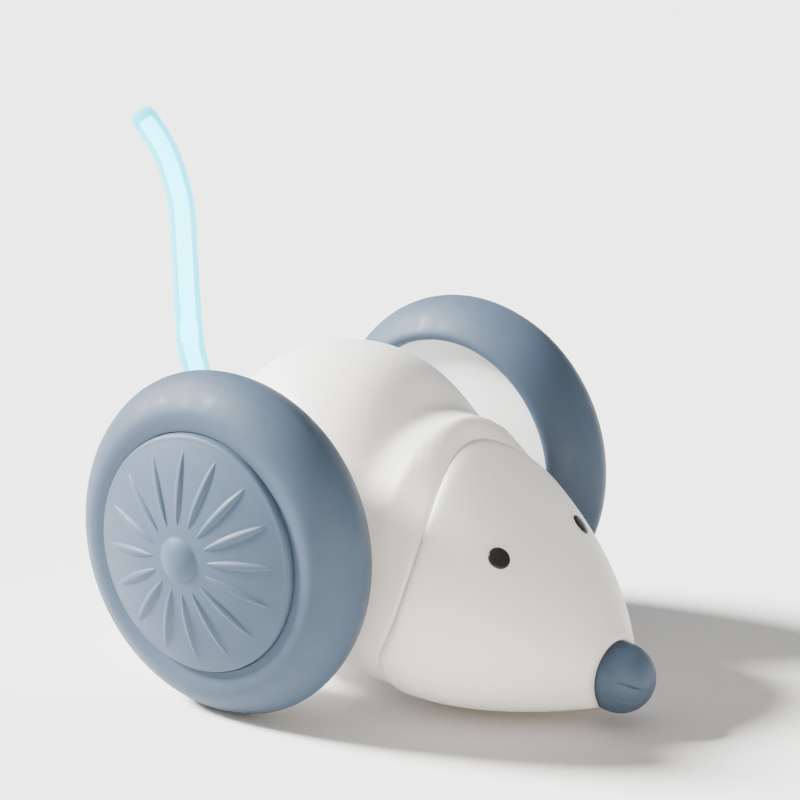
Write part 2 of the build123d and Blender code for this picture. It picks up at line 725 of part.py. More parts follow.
def board_chips():
    """Controller, motor driver and charger packages beside the battery pad."""
    top = BOARD_Z + BOARD_THICKNESS
    return Compound([block((-3, 2), (-9.6, -6.4), (top, top + 1.0)),
                     block((4, 8), (6.4, 9.6), (top, top + 1.0)),
                     block((-6, -3.4), (6.6, 9.4), (top, top + 0.9))])


def write_body():
    """Write the parts that stay with the body."""
    write("upper_shell", upper_shell())
    write("lower_shell", lower_shell())
    write("head_shell", head_shell())
    write("nose", nose())
    write("right_eye", eye(-1))
    write("left_eye", eye(1))
    write("front_glide", front_glide())
    write("tail_socket", tail_socket())
    write("tail_tube", tail_tube())
    write("tail_lamp", tail_lamp())
    write("tail_lead_red", tail_lead(0.5))
    write("tail_lead_black", tail_lead(-0.5))
    write("socket_lead_red", socket_lead(0.5))
    write("socket_lead_black", socket_lead(-0.5))
    write("main_board", main_board())
    write("board_chips", board_chips())
    write("board_screws", board_screws())
    write("shell_screws", shell_screws())
    write("charge_port", charge_port())
    write("power_switch", power_switch())
    write("power_button", power_button())
    write("battery", battery())
    low = BOARD_Z + BOARD_THICKNESS
    write("battery_pad", block((-8, 12), (-6, 6), (low, low + PAD_THICKNESS)))
    write("battery_lead_red", battery_lead(0.7))
    write("battery_lead_black", battery_lead(-0.7))
    write("motor_leads_red", Compound([motor_lead(2.2), motor_lead(-2.2)]))
    write("motor_leads_black", Compound([motor_lead(3.8), motor_lead(-3.8)]))


def write_drives():
    """Write both wheels and their gear trains."""
    small_tooth = meshing_tooth(OUTPUT_TEETH, 0.0, PINION_TEETH, COMPOUND_ANGLE)
    large_tooth = small_tooth
    motor_tooth = meshing_tooth(COMPOUND_TEETH, large_tooth, PINION_TEETH, MOTOR_ANGLE)
    motor = pinion_place()
    for name, sign in (("right", -1), ("left", 1)):
        side(f"{name}_tyre", tyre(), sign)
        side(f"{name}_wheel_hub", wheel_hub(), sign)
        side(f"{name}_hub_cap", hub_cap(), sign)
        side(f"{name}_axle", axle(), sign)
        side(f"{name}_wheel_screw", wheel_screw(), sign)
        output = gear(OUTPUT_TEETH, WHEEL_ADDENDUM, 0.0, (0, AXLE_Z), SLOW_PLANE, AXLE_R + 0.02)
        side(f"{name}_output_gear", output, sign)
        side(f"{name}_compound_gear", compound_gear(large_tooth, small_tooth), sign)
        pinion = gear(PINION_TEETH, PINION_ADDENDUM, motor_tooth, motor, FAST_PLANE, MOTOR_SHAFT_R + 0.01)
        side(f"{name}_motor_pinion", pinion, sign)
        side(f"{name}_motor_shaft", disc(*motor, MOTOR_SHAFT_R, 6.2, FAST_PLANE[1]), sign)
        side(f"{name}_motor_can", motor_can(), sign)
        side(f"{name}_gear_pin", disc(*compound_place(), PIN_R - 0.01, CASE_Y[0], COVER_Y), sign)
        side(f"{name}_gearbox_case", gearbox_case(), sign)
        side(f"{name}_gearbox_cover", gearbox_cover(), sign)
        side(f"{name}_axle_bushes", axle_bushes(), sign)
        side(f"{name}_gearbox_screws", gearbox_screws(), sign)


os.makedirs("parts", exist_ok=True)
write_body()
write_drives()
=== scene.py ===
"""Looks of the rolling mouse toy: fine skins, finishes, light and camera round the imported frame."""
import bmesh
import bpy
import math
from mathutils import Matrix, Vector


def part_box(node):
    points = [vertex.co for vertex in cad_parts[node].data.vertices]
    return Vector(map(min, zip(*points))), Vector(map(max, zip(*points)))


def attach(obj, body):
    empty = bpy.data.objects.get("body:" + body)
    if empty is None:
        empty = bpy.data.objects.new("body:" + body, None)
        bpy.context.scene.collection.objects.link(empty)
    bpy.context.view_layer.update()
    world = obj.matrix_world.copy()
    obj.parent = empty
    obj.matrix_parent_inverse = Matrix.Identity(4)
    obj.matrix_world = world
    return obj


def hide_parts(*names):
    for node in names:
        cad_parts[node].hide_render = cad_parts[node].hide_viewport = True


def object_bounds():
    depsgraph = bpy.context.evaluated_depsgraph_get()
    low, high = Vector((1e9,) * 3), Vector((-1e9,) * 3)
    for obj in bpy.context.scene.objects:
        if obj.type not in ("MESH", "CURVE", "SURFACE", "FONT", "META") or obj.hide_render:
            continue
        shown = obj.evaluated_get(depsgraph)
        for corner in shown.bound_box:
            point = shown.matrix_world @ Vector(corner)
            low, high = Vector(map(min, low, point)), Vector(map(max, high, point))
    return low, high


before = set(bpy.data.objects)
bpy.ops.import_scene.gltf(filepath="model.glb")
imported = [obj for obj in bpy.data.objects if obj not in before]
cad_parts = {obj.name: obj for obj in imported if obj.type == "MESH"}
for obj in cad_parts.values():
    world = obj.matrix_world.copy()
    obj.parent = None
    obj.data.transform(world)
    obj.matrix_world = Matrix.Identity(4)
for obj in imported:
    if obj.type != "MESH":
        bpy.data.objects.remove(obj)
cad_low, cad_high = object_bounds()
MM = 0.001

# Wheels, in millimetres: heights from the floor, lengths from the axle
SIDES = {"right": -1, "left": 1}
TYRE_LOW, TYRE_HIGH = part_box("right_tyre")
AXLE = Vector(((TYRE_LOW[0] + TYRE_HIGH[0]) / 2, 0, (TYRE_LOW[2] + TYRE_HIGH[2]) / 2))
AXLE_Z = 30.0
TYRE_Y = 35.2
RIM_R = 23.0
TYRE_SEAT = 3.0
CAP_R = 20.7
CAP_SKIRT_R = 19.0
CAP_FIT = 0.12
CAP_FACE_R = 19.8
CAP_DOME_R = 52.0
CAP_CROWN = 11.9
CAP_BUTTON_R = 3.9
CAP_BUTTON_HEIGHT = 1.1
RAY_COUNT = 16
RAY_SPAN = (5.9, 18.3)
RAY_HALF_WIDTH = 0.80
RAY_HEIGHT = 0.50
RAY_FIRST = -3.9

# Body and head, in millimetres: heights from the floor, lengths from the axle
WALL = 2.0
BODY_HALF_LENGTH = 27.6
BODY_HALF_WIDTH = 25.2
BODY_HALF_HEIGHT = 28.8
BODY_MID_Z = 29.4
HUMP_LENGTH = 22.0
HUMP_POWER = 2.27
COLLAR_TOP = 48.0
COLLAR_SLOPE = 1.02
COLLAR_ROUNDING = 3.0
COLLAR_EASE = 12.0
SPLIT_Z = 10.0
NECK_X = 28.4
NECK_INSET = 0.8
CREASE_R = 31.5
CREASE_X = -1.0
CREASE_Z = 30.0
CREASE_FOOT_X = 24.5
HEAD_LENGTH = 29.2
HEAD_BULGE = 0.52
HEAD_TOP = (44.0, 31.4, 14.4)
HEAD_BOTTOM = (1.15, 0.85, 3.7)
HEAD_HALF_WIDTH = (25.7, 25.1, 5.4)
HEAD_MID = 0.42
HEAD_EDGE_R = 1.6
HEAD_EDGE_SHARE = 0.7
NECK_EDGE_R = 0.9
NECK_EDGE_SHARE = 0.8
AXLE_HOLE_R = 3.2
SOCKET_HOLE_R = 4.25
PORT_SLOT = ((-40, -4.9, 10.8), (-17, 4.9, 14.8))
WELL_OUTSIDE = 60
NOSE = Vector((57.9, 0, 8.4))
NOSE_R = 6.1
NOSE_GAP = 0.25
NOSE_SOCKET_AXIS = Vector((-1, 0, 0.25)).normalized()
EYE_R = 2.0
EYE_HEIGHT = 0.42
EYE_DEPTH = 0.5
EYE_STATION = 0.425
EYE_ANGLE = 56.0

# Tail, in millimetres: heights from the floor, lengths from the axle
TAIL_R = 2.4
TAIL_CORE_R = 1.25
TAIL_BEND_R = 20.0
TAIL_STEP = 0.8
# Swelling: share of the radius, then its middle and spread in steps
TAIL_SWELLING = (0.05, 22, 9)
TAIL_ROUTE = [(-27.5, 37.2), (-33.8, 42.2), (-37.4, 52.0), (-38.8, 78.5), (-42.2, 87.6), (-48.2, 93.7)]

# Points round each form
AROUND = 160
TYRE_AROUND = 224
RAY_AROUND = 40
EYE_AROUND = 72
TAIL_AROUND = 48
CORE_AROUND = 32

CAMERA_AZIMUTH = 37.35
CAMERA_ELEVATION = 14.9
CAMERA_DISTANCE = 0.604
CAMERA_LENS = 155.7
CAMERA_AIM = Vector((AXLE.x + 0.01083, 0, 0.0495))


def at(x, y, z):
    """Millimetres from the axle's foot on the floor, as a place in the frame."""
    return Vector((AXLE.x + x * MM, y * MM, z * MM))


# ---------------------------------------------------------------- meshes

def piece(name, bm, body, materials, replaced=()):
    """Finish a mesh as one object that rides on a body and stands for CAD nodes."""
    bmesh.ops.recalc_face_normals(bm, faces=bm.faces)
    mesh = bpy.data.meshes.new(name)
    bm.to_mesh(mesh)
    bm.free()
    obj = bpy.data.objects.new(name, mesh)
    bpy.context.collection.objects.link(obj)
    for material in materials:
        mesh.materials.append(material)
    for polygon in mesh.polygons:
        polygon.use_smooth = True
    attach(obj, body)
    if replaced:
        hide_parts(*replaced)
    return obj


def skin(rows, first_pole=None, last_pole=None, closed=False):
    """Mesh from rings of points, with a point at either end or the ends joined."""
    bm = bmesh.new()
    rings = [[bm.verts.new(p) for p in row] for row in rows]
    pairs = list(zip(rings, rings[1:]))
    if closed:
        pairs.append((rings[-1], rings[0]))
    for a, b in pairs:
        count = len(a)
        for i in range(count):
            j = (i + 1) % count
            bm.faces.new((a[i], a[j], b[j], b[i]))
    for pole, ring in ((first_pole, rings[0]), (last_pole, rings[-1])):
        if pole is not None:
            tip = bm.verts.new(pole)
            for i in range(len(ring)):
                bm.faces.new((tip, ring[i], ring[(i + 1) % len(ring)]))
    return bm


def through(points, steps):
    """Smooth run of (distance, radius) points through the given ones."""
    out = []
    ends = [points[0]] + list(points) + [points[-1]]
    for i in range(len(points) - 1):
        p0, p1, p2, p3 = (Vector(p) for p in ends[i:i + 4])
        for k in range(steps):
            t = k / steps
            out.append(0.5 * (2 * p1 + (p2 - p0) * t + (2 * p0 - 5 * p1 + 4 * p2 - p3) * t * t
                              + (3 * p1 - p0 - 3 * p2 + p3) * t ** 3))
    out.append(Vector(points[-1]))
    return out


def turned(profile, sign, count):
    """Rings round the axle from (distance from the middle, radius) in millimetres."""
    rows = []
    for y, r in profile:
        row = []
        for i in range(count):
            a = 2 * math.pi * i / count
            row.append(at(r * math.cos(a), sign * y, AXLE_Z + r * math.sin(a)))
        rows.append(row)
    return rows


def tyre(side, sign):
    """Fat silicone tyre with a crest, and a flat ring round the cap."""
    mouth = CAP_R + CAP_FIT
    inboard = [(-7.5, RIM_R), (-8.2, RIM_R + 0.4), (-8.35, RIM_R + 1.3), (-7.6, 25.6), (-5.7, 27.5),
               (-3.0, 29.2)]
    outboard = [(0.0, 30.0), (2.5, 29.1), (4.4, 27.7), (5.6, 26.4), (6.4, 25.2), (6.85, 24.1), (6.95, 23.0),
                (6.85, 22.0), (6.7, mouth)]
    profile = through(inboard + outboard, 6)
    seat = [(TYRE_SEAT + 0.1, mouth), (TYRE_SEAT, RIM_R - 0.5), (TYRE_SEAT, RIM_R)]
    profile += [Vector(p) for p in seat]
    rows = turned([(TYRE_Y + u, r) for u, r in profile], sign, TYRE_AROUND)
    return piece(f"{side}_tyre_skin", skin(rows, closed=True), f"{side}_wheel", [SILICONE],
                 [f"{side}_tyre"])


def dome(r):
    """Height of the cap's dome outboard of the tyre's middle."""
    return CAP_CROWN - (CAP_DOME_R - math.sqrt(CAP_DOME_R ** 2 - r * r))


def cap_height(r, angle):
    """Height of the cap's face, with its rays and its button."""
    height = dome(r)
    inner, outer = RAY_SPAN
    step = 2 * math.pi / RAY_COUNT
    offset = (angle - math.radians(RAY_FIRST) + step / 2) % step - step / 2
    along = (2 * r - inner - outer) / (outer - inner)
    if abs(along) < 1:
        half = RAY_HALF_WIDTH * (1 - along * along) ** 0.8
        across = r * math.sin(offset) / half
        if abs(across) < 1:
            height += RAY_HEIGHT * (1 - across * across) * (1 - along * along) ** 0.6
    if r < CAP_BUTTON_R:
        rise = CAP_BUTTON_HEIGHT + dome(0) - dome(CAP_BUTTON_R)
        ball = (CAP_BUTTON_R ** 2 + rise ** 2) / (2 * rise)
        height = max(height, CAP_CROWN + CAP_BUTTON_HEIGHT - ball + math.sqrt(ball ** 2 - r * r))
    return height


def hub_cap(side, sign):
    """Domed wheel cover: raised rays, a round button, a rolled edge and a skirt."""
    count = RAY_COUNT * RAY_AROUND
    rows = []
    radii = [CAP_FACE_R * k / 79 for k in range(1, 80)]
    for r in radii:
        row = []
        for i in range(count):
            a = 2 * math.pi * i / count
            height = TYRE_Y + cap_height(r, -a)
            row.append(at(r * math.cos(a), sign * height, AXLE_Z + r * math.sin(a)))
        rows.append(row)
    face = dome(CAP_FACE_R)
    edge = [(face - 0.04, 20.0), (face - 0.12, 20.2), (face - 0.26, 20.42), (face - 0.5, 20.6),
            (face - 0.9, CAP_R), (-1.0, CAP_R), (-1.0, CAP_SKIRT_R), (6.0, CAP_SKIRT_R), (8.4, 12.0)]
    rows += turned([(TYRE_Y + u, r) for u, r in edge], sign, count)
    tip = at(0, sign * (TYRE_Y + cap_height(0, 0)), AXLE_Z)
    inner_tip = at(0, sign * (TYRE_Y + 9.9), AXLE_Z)
    return piece(f"{side}_hub_cap_skin", skin(rows, tip, inner_tip),
                 f"{side}_wheel", [CAP], [f"{side}_hub_cap"])


# ---------------------------------------------------------------- body and head

def bezier(ends, t):
    """Quadratic curve through the first and last of three values."""
    return (1 - t) ** 2 * ends[0] + 2 * t * (1 - t) * ends[1] + t ** 2 * ends[2]


def ease(t):
    """Smooth step from 0 to 1."""
    t = min(1.0, max(0.0, t))
    return t * t * (3 - 2 * t)


def egg_point(station, angle, inset):
    """Point of an egg-shaped section at one angle above the widest line."""
    x, width, top, middle, bottom, power = station
    c, s = math.cos(angle), math.sin(angle)
    n = 2.0 if s >= 0 else power
    height = (top - middle if s >= 0 else middle - bottom) - inset
    size = (abs(c) ** n + abs(s) ** n) ** (-1 / n)
    return Vector((x, (width - inset) * size * c, middle + height * size * s))


def head_station(t):
    """Section of the head at t, from 0 at the neck to 1 at the nose."""
    x = NECK_X + HEAD_LENGTH * (2 * t * (1 - t) * HEAD_BULGE + t * t)
    top, bottom = bezier(HEAD_TOP, t), bezier(HEAD_BOTTOM, t)
    return x, bezier(HEAD_HALF_WIDTH, t), top, bottom + HEAD_MID * (top - bottom), bottom, 3.0


def body_station(x):
    """Section of the humped body and its collar at x."""
    rear = math.sqrt(max(0.0, 1 - (x / BODY_HALF_LENGTH) ** 2)) if x < 0 else 1.0
    front = math.sqrt(max(0.0, 1 - (x / HUMP_LENGTH) ** HUMP_POWER)) if x > 0 else rear
    blend = ease(x / NECK_X)
    top = BODY_MID_Z + BODY_HALF_HEIGHT * front
    if x > 0:
        collar = min(HEAD_TOP[0] - NECK_INSET - COLLAR_SLOPE * (x - NECK_X), COLLAR_TOP)
        rounding_here = COLLAR_ROUNDING * ease(x / COLLAR_EASE)
        top = (top + collar + math.hypot(top - collar, rounding_here)) / 2
    neck_middle = HEAD_BOTTOM[0] + HEAD_MID * (HEAD_TOP[0] - HEAD_BOTTOM[0])
    middle = BODY_MID_Z + blend * (neck_middle - BODY_MID_Z)
    low = BODY_MID_Z - BODY_HALF_HEIGHT * rear
    low += blend * (HEAD_BOTTOM[0] + NECK_INSET - low)
    width = BODY_HALF_WIDTH * rear
    width += blend * (HEAD_HALF_WIDTH[0] - NECK_INSET - width)
    return x, width, top, middle, low, 2 + blend


def beyond_crease(p):
    """Distance of a point in front of the drum that the head's rear edge wraps."""
    return min(math.hypot(p.x - CREASE_X, p.z - CREASE_Z) - CREASE_R, p.x - CREASE_FOOT_X)


def solve(measure, low, high):
    """Value between low and high at which a rising measure crosses zero."""
    for _ in range(40):
        middle = (low + high) / 2
        if measure(middle) < 0:
            low = middle
        else:
            high = middle
    return (low + high) / 2


def rounding(distance, radius):
    """Inset that rounds an edge, from the distance to that edge."""
    if distance >= radius:
        return 0.0
    return radius - math.sqrt(max(0.0, radius ** 2 - (radius - distance) ** 2))


def head_shell():
    """White cone of the face: socket, skin, rolled rear edge and inner wall."""
    near = [0.0, 0.05, 0.15, 0.35, 0.6, 0.9, 1.25, 1.6, 2.2, 3.0]
    shares = [k / 46 for k in range(1, 47)]
    columns = []
    for i in range(AROUND):
        angle = 2 * math.pi * i / AROUND
        rear = solve(lambda t: beyond_crease(egg_point(head_station(t), angle, 0)), -0.4, 0.6)
        gap = NOSE_R + NOSE_GAP
        front = solve(lambda t: gap - (egg_point(head_station(t), angle, 0) - NOSE).length, 0.5, 1.0)
        starts = [solve(lambda t: beyond_crease(egg_point(head_station(t), angle, 0)) - d, rear, 0.7)
                  for d in near]
        column = []
        rim = egg_point(head_station(front), angle, 0)
        from_middle = rim - NOSE
        back = NOSE_SOCKET_AXIS * gap
        for k in range(1, 10):
            column.append(NOSE + back.lerp(from_middle, k / 10).normalized() * gap)
        lip = [egg_point(head_station(front + (starts[-1] - front) * s), angle, 0) for s in (0, 0.008)]
        column.append(lip[0].lerp(lip[1], 0.5))
        for share in shares:
            t = front + (starts[-1] - front) * (0.015 + 0.985 * share)
            column.append(egg_point(head_station(t), angle, 0))
        for d, t in reversed(list(zip(near, starts))[:-1]):
            column.append(egg_point(head_station(t), angle, rounding(d, HEAD_EDGE_R) * HEAD_EDGE_SHARE))
        for t in (rear, 0.15, 0.3, 0.45, 0.6, 0.75):
            column.append(egg_point(head_station(max(t, rear)), angle, WALL))
        columns.append(column)
    rows = [[at(*column[k]) for column in columns] for k in range(len(columns[0]))]
    back_pole = NOSE + NOSE_SOCKET_AXIS * (NOSE_R + NOSE_GAP)
    return piece("head_shell_skin", skin(rows, at(*back_pole), at(46.0, 0, 14.0)), "body", [SHELL],
                 ["head_shell"])


def cutter_box(bm, low, high):
    """Add a closed block between two corners, in millimetres from the axle."""
    a, b = at(*low), at(*high)
    made = bmesh.ops.create_cube(bm, size=1.0)["verts"]
    scale = Matrix.Diagonal((b.x - a.x, b.y - a.y, b.z - a.z, 1))
    bmesh.ops.transform(bm, matrix=Matrix.Translation((a + b) / 2) @ scale, verts=made)


def cutter_bar(bm, start, end, radius):
    """Add a closed round bar between two places, in millimetres from the axle."""
    a, b = at(*start), at(*end)
    turn = (b - a).to_track_quat("Z", "Y").to_matrix().to_4x4()
    place = Matrix.Translation((a + b) / 2) @ turn
    bmesh.ops.create_cone(bm, cap_ends=True, segments=64, radius1=radius * MM, radius2=radius * MM,
                          depth=(b - a).length, matrix=place)


def cut(obj, adders):
    """Cut shapes out of a piece, one at a time, and keep the result."""
    for add in adders:
        bm = bmesh.new()
        add(bm)
        mesh = bpy.data.meshes.new("cutter")
        bm.to_mesh(mesh)
        bm.free()
        tool = bpy.data.objects.new("cutter", mesh)
        bpy.context.collection.objects.link(tool)
        step = obj.modifiers.new("cut", "BOOLEAN")
        step.operation = "DIFFERENCE"
        step.solver = "EXACT"
        step.object = tool
        with bpy.context.temp_override(object=obj, active_object=obj, selected_objects=[obj]):
            bpy.ops.object.modifier_apply(modifier=step.name)
        bpy.data.objects.remove(tool, do_unlink=True)
        bpy.data.meshes.remove(mesh)


def upper_shell():
    """Humped back: rear pole, skin, rolled neck edge, inner wall, then its openings."""
    near = [0.0, 0.05, 0.15, 0.35, 0.6, 0.9, 1.4, 2.2, 3.2]
    columns = []
    for i in range(AROUND):
        angle = 2 * math.pi * i / AROUND
        ends = [solve(lambda x: beyond_crease(egg_point(body_station(x), angle, 0)) + d, 5.0, 40.0)
                for d in near]
        column = []
        for k in range(1, 40):
            x = -BODY_HALF_LENGTH * math.cos(math.radians(90 * k / 40))
            column.append(egg_point(body_station(x), angle, 0))
        for k in range(60):
            column.append(egg_point(body_station(ends[-1] * k / 60), angle, 0))
        for d, x in reversed(list(zip(near, ends))):
            column.append(egg_point(body_station(x), angle, rounding(d, NECK_EDGE_R) * NECK_EDGE_SHARE))
        inner = BODY_HALF_LENGTH - WALL
        for x in (ends[0], 18.0, 12.0, 6.0, 0.0):
            column.append(egg_point(body_station(min(x, ends[0])), angle, WALL))
        for k in range(9, 0, -1):
            x = -math.cos(math.radians(10 * k))
            station = body_station(x * BODY_HALF_LENGTH)
            p = egg_point(station, angle, WALL * math.sin(math.radians(10 * k)))
            column.append(Vector((x * inner, p.y, p.z)))
        columns.append(column)
    rows = [[at(*column[k]) for column in columns] for k in range(len(columns[0]))]
    bm = skin(rows, at(-BODY_HALF_LENGTH, 0, BODY_MID_Z), at(WALL - BODY_HALF_LENGTH, 0, BODY_MID_Z))
    obj = piece("upper_shell_skin", bm, "body", [SHELL], ["upper_shell"])
    root = Vector((TAIL_ROUTE[0][0], 0, TAIL_ROUTE[0][1]))
    out = (Vector((TAIL_ROUTE[1][0], 0, TAIL_ROUTE[1][1])) - root).normalized()
    cut(obj, [
        lambda bm: cutter_box(bm, (-WELL_OUTSIDE, -WELL_OUTSIDE, -20), (WELL_OUTSIDE, WELL_OUTSIDE, SPLIT_Z)),
        lambda bm: cutter_bar(bm, (0, -WELL_OUTSIDE, AXLE_Z), (0, WELL_OUTSIDE, AXLE_Z), AXLE_HOLE_R),
        lambda bm: cutter_bar(bm, root - out * 9, root + out * 5, SOCKET_HOLE_R),
        lambda bm: cutter_box(bm, *PORT_SLOT),
    ])


# ---------------------------------------------------------------- small visible parts

def nose_direction(azimuth, elevation):
    """Unit direction on the nose ball, from degrees round and above its front."""
    a, e = math.radians(azimuth), math.radians(elevation)
    return Vector((math.cos(a) * math.cos(e), math.sin(a) * math.cos(e), math.sin(e)))


NOSE_GROOVES = [(nose_direction(-62, 13), nose_direction(-17, -6)),
                (nose_direction(-77, -14), nose_direction(-13, -26))]
GROOVE_HALF_WIDTH = 0.040
GROOVE_DEPTH = 0.34


def groove_depth(direction):
    """Depth of the mould grooves at one direction on the nose."""
    depth = 0.0
    mirrored = Vector((direction.x, -abs(direction.y), direction.z))
    for start, end in NOSE_GROOVES:
        along = end - start
        share = min(1.0, max(0.0, (mirrored - start).dot(along) / along.length_squared))
        across = (mirrored - start.lerp(end, share).normalized()).length / GROOVE_HALF_WIDTH
        taper = math.sin(math.pi * (0.12 + 0.76 * share))
        if across < 1.6:
            depth = max(depth, GROOVE_DEPTH * taper * math.exp(-across * across * 2.0))
    return depth


def nose():
    """Ball nose with shallow mould grooves either side of its front."""
    rings, count = 170, 340
    rows = []
    for k in range(1, rings):
        polar = math.pi * k / rings
        row = []
        for i in range(count):
            a = 2 * math.pi * i / count
            d = Vector((math.cos(polar), math.sin(polar) * math.cos(a), math.sin(polar) * math.sin(a)))
            row.append(at(*(NOSE + d * (NOSE_R - groove_depth(d)))))
        rows.append(row)
    front, back = NOSE + Vector((NOSE_R, 0, 0)), NOSE - Vector((NOSE_R, 0, 0))
    return piece("nose_skin", skin(rows, at(*front), at(*back)), "body", [NOSE_SKIN], ["nose"])


def eye(side, sign):
    """Button eye: a low satin dome with a rounded rim, let into the skin."""
    here = egg_point(head_station(EYE_STATION), math.radians(EYE_ANGLE), 0)
    along = egg_point(head_station(EYE_STATION + 0.01), math.radians(EYE_ANGLE), 0) - here
    around = egg_point(head_station(EYE_STATION), math.radians(EYE_ANGLE + 1), 0) - here
    normal = around.cross(along).normalized()
    if normal.z < 0:
        normal.negate()
    here.y, normal.y = here.y * sign, normal.y * sign
    turn = normal.to_track_quat("Z", "Y")
    profile = [(0.25 * k, EYE_HEIGHT - 0.055 * (0.25 * k) ** 2) for k in range(1, 8)]
    profile += [(1.88, 0.17), (1.96, 0.08), (EYE_R, -0.05), (EYE_R, -EYE_DEPTH)]
    rows = []
    for r, h in profile:
        rows.append([at(*(here + turn @ Vector((r * math.cos(a), r * math.sin(a), h))))
                     for a in (2 * math.pi * i / EYE_AROUND for i in range(EYE_AROUND))])
    top, low = here + normal * EYE_HEIGHT, here - normal * EYE_DEPTH
    return piece(f"{side}_eye_skin", skin(rows, at(*top), at(*low)), "body", [EYE], [f"{side}_eye"])


def tail_line():
    """Centreline of the tail: its runs joined by arcs, as evenly spaced points."""
    corners = [Vector((x, 0, z)) for x, z in TAIL_ROUTE]
    line = [corners[0]]
    for before, here, after in zip(corners, corners[1:], corners[2:]):
        a, b = (before - here).normalized(), (after - here).normalized()
        reach = TAIL_BEND_R * math.tan((math.pi - a.angle(b)) / 2)
        start, end = here + a * reach, here + b * reach
        for k in range(13):
            t = k / 12
            line.append(start.lerp(here, t).lerp(here.lerp(end, t), t))
    line.append(corners[-1])
    out = [line[0]]
    for p, q in zip(line, line[1:]):
        steps = max(1, int((q - p).length / TAIL_STEP))
        out += [p.lerp(q, k / steps) for k in range(1, steps + 1)]
    return out


def tube_rows(line, radii, count):
    """Rings across a line that stays in the XZ plane."""
    rows = []
    for i, p in enumerate(line):
        ahead = (line[min(i + 1, len(line) - 1)] - line[max(i - 1, 0)]).normalized()
        across = Vector((-ahead.z, 0, ahead.x))
        rows.append([at(*(p + across * radii[i] * math.cos(a) + Vector((0, radii[i] * math.sin(a), 0))))
                     for a in (2 * math.pi * k / count for k in range(count))])
    return rows


def tail():
    """Translucent tube with a rounded root and a lit core inside."""
    line = tail_line()
    root = (line[1] - line[0]).normalized()
    cup = [(line[0] - root * TAIL_R * math.cos(math.radians(a)), TAIL_R * math.sin(math.radians(a)))
           for a in (12, 28, 44, 60, 76)]
    places = [p for p, _ in cup] + line
    radii = [r for _, r in cup] + [TAIL_R] * len(line)
    swelling, middle, width = TAIL_SWELLING
    for i in range(len(line)):
        radii[len(cup) + i] *= 1.0 + swelling * math.exp(-((i - middle) / width) ** 2)
    radii[-1] = TAIL_R * 0.9
    radii[-2] = TAIL_R * 0.98
    skin_rows = tube_rows(places, radii, TAIL_AROUND)
    bm = skin(skin_rows, at(*(line[0] - root * TAIL_R)), at(*line[-1]))
    piece("tail_skin", bm, "tail", [TAIL_SKIN], ["tail_tube"])
    inner = line[4:-2]
    core = skin(tube_rows(inner, [TAIL_CORE_R] * len(inner), CORE_AROUND), at(*inner[0]), at(*inner[-1]))
    piece("tail_light_core", core, "tail", [TAIL_CORE], ())


# ---------------------------------------------------------------- finishes

NOISE_MIDDLE = (0.3, 0.5)
RELIEF_DEPTH = 0.0002


def node_material(name):
    """Empty node material with its shader."""
    material = bpy.data.materials.new(name)
    material.use_nodes = True
    return material, material.node_tree, material.node_tree.nodes["Principled BSDF"]


def noise(tree, scale, detail, stretch):
    """Noise on the object's own place, stretched along its axes."""
    place = tree.nodes.new("ShaderNodeTexCoord")
    mapping = tree.nodes.new("ShaderNodeMapping")
    mapping.inputs["Scale"].default_value = stretch
    texture = tree.nodes.new("ShaderNodeTexNoise")
    texture.inputs["Scale"].default_value = scale
    texture.inputs["Detail"].default_value = detail
    tree.links.new(place.outputs["Object"], mapping.inputs["Vector"])
    tree.links.new(mapping.outputs["Vector"], texture.inputs["Vector"])
    return texture.outputs["Fac"]


def spread(tree, value, low, high):
    """Map a noise's middle range onto low to high."""
    ramp = tree.nodes.new("ShaderNodeMapRange")
    ramp.inputs["From Min"].default_value = NOISE_MIDDLE[0]
    ramp.inputs["From Max"].default_value = NOISE_MIDDLE[1]
    ramp.inputs["To Min"].default_value = low
    ramp.inputs["To Max"].default_value = high
    tree.links.new(value, ramp.inputs["Value"])
    return ramp.outputs["Result"]


def finish(name, colour, second, rough, bump=0.02, grain=2500, patch=60, stretch=(1, 1, 1), **sockets):
    """Moulded or machined finish: two near colours in soft patches, varied gloss and fine grain."""
    material, tree, shader = node_material(name)
    mix = tree.nodes.new("ShaderNodeMix")
    mix.data_type = "RGBA"
    mix.inputs["A"].default_value = (*colour, 1)
    mix.inputs["B"].default_value = (*second, 1)
    tree.links.new(spread(tree, noise(tree, patch, 3.0, stretch), 0, 1), mix.inputs["Factor"])
    tree.links.new(mix.outputs["Result"], shader.inputs["Base Color"])
    tree.links.new(spread(tree, noise(tree, patch * 6, 5.0, stretch), *rough), shader.inputs["Roughness"])
    relief = tree.nodes.new("ShaderNodeBump")
    relief.inputs["Strength"].default_value = bump
    relief.inputs["Distance"].default_value = RELIEF_DEPTH
    tree.links.new(noise(tree, grain, 2.0, stretch), relief.inputs["Height"])
    tree.links.new(relief.outputs["Normal"], shader.inputs["Normal"])
    for socket, value in sockets.items():
        shader.inputs[socket.replace("_", " ")].default_value = value
    return material


def metal(name, colour, rough, stretch):
    """Drawn or ground metal with fine lines along one way."""
    darker = tuple(c * 0.86 for c in colour)
    return finish(name, colour, darker, rough, bump=0.06, grain=1800, patch=300, stretch=stretch,
                  Metallic=1.0)


